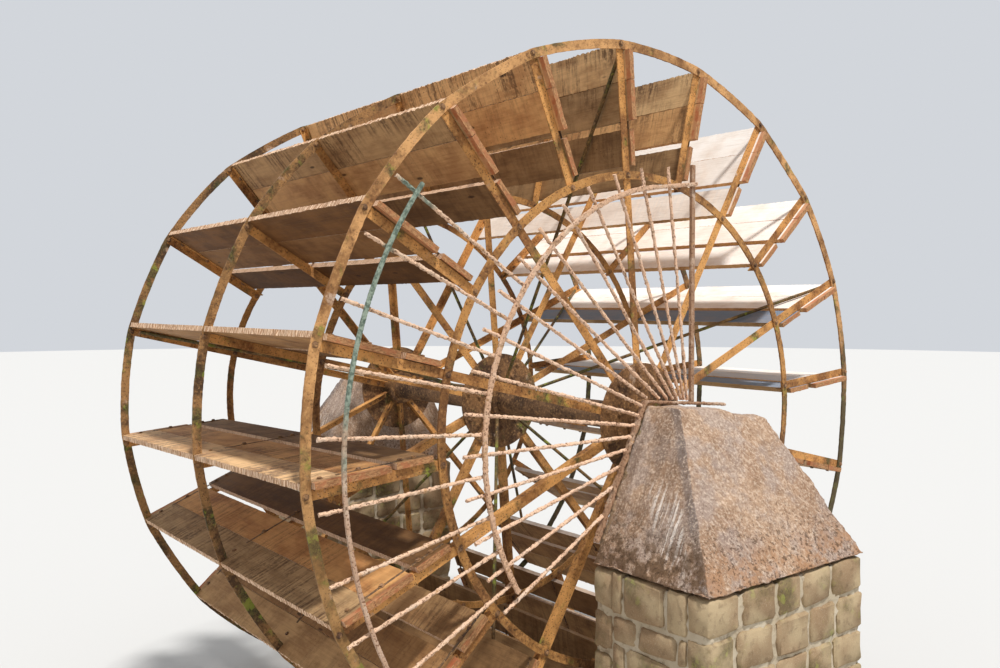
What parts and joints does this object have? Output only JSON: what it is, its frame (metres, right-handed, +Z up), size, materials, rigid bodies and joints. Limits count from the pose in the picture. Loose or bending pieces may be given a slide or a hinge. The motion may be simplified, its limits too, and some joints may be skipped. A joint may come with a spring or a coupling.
{
  "type": "water wheel",
  "caption": "Undershot water wheel with an iron frame and wooden paddles, turning between two tapered masonry piers, with a fan-shaped iron guard.",
  "frame": {"origin": "middle of the ground plan, on the bed of the channel, where the piers stand", "axes": "+Z up; +Y along the axle, from the guarded near pier to the far pier; +X across the wheel, to the right as seen from the near pier"},
  "size_m": [4.2726, 4.598, 4.3701],
  "materials": {
    "render": "rough lime render, weathered",
    "rubble": "coursed rubble stone in lime mortar",
    "bearing_iron": "greased, rust brown",
    "guard_iron": "old green paint under lime crust",
    "boards": "sawn softwood boards, weathered",
    "dark_iron": "rusted",
    "rusty_iron": "rust with lime crust and moss"
  },
  "bodies": {
    "stand": {"near_pier": "render", "near_pier_base": "rubble", "near_bearing": "bearing_iron", "far_pier": "render", "far_pier_base": "rubble", "far_bearing": "bearing_iron", "guard_rail": "guard_iron", "guard_middle_arc": "guard_iron", "guard_outer_arc": "guard_iron", "guard_short_bars": "guard_iron", "guard_long_bars": "guard_iron", "guard_post": "guard_iron"},
    "wheel": {"axle": "dark_iron", "near_hub": "dark_iron", "mid_hub": "dark_iron", "far_hub": "dark_iron", "near_arms": "rusty_iron", "mid_arms": "rusty_iron", "far_arms": "rusty_iron", "near_ring": "rusty_iron", "mid_ring": "rusty_iron", "far_ring": "rusty_iron", "near_rim": "rusty_iron", "mid_rim": "rusty_iron", "far_rim": "rusty_iron", "near_stays": "rusty_iron", "far_stays": "rusty_iron", "paddle_01": "boards", "paddle_02": "boards", "paddle_03": "boards", "paddle_04": "boards", "paddle_05": "boards", "paddle_06": "boards", "paddle_07": "boards", "paddle_08": "boards", "paddle_09": "boards", "paddle_10": "boards", "paddle_11": "boards", "paddle_12": "boards", "paddle_13": "boards", "paddle_14": "boards", "paddle_15": "boards", "paddle_16": "boards", "paddle_17": "boards", "paddle_18": "boards", "paddle_19": "boards", "paddle_20": "boards"}
  },
  "joints": [
    {"name": "wheel_spin", "type": "hinge", "parent": "stand", "child": "wheel", "pos_m": [0.016, 0, 2.25], "axis": [0, 1, 0], "continuous": true}
  ]
}
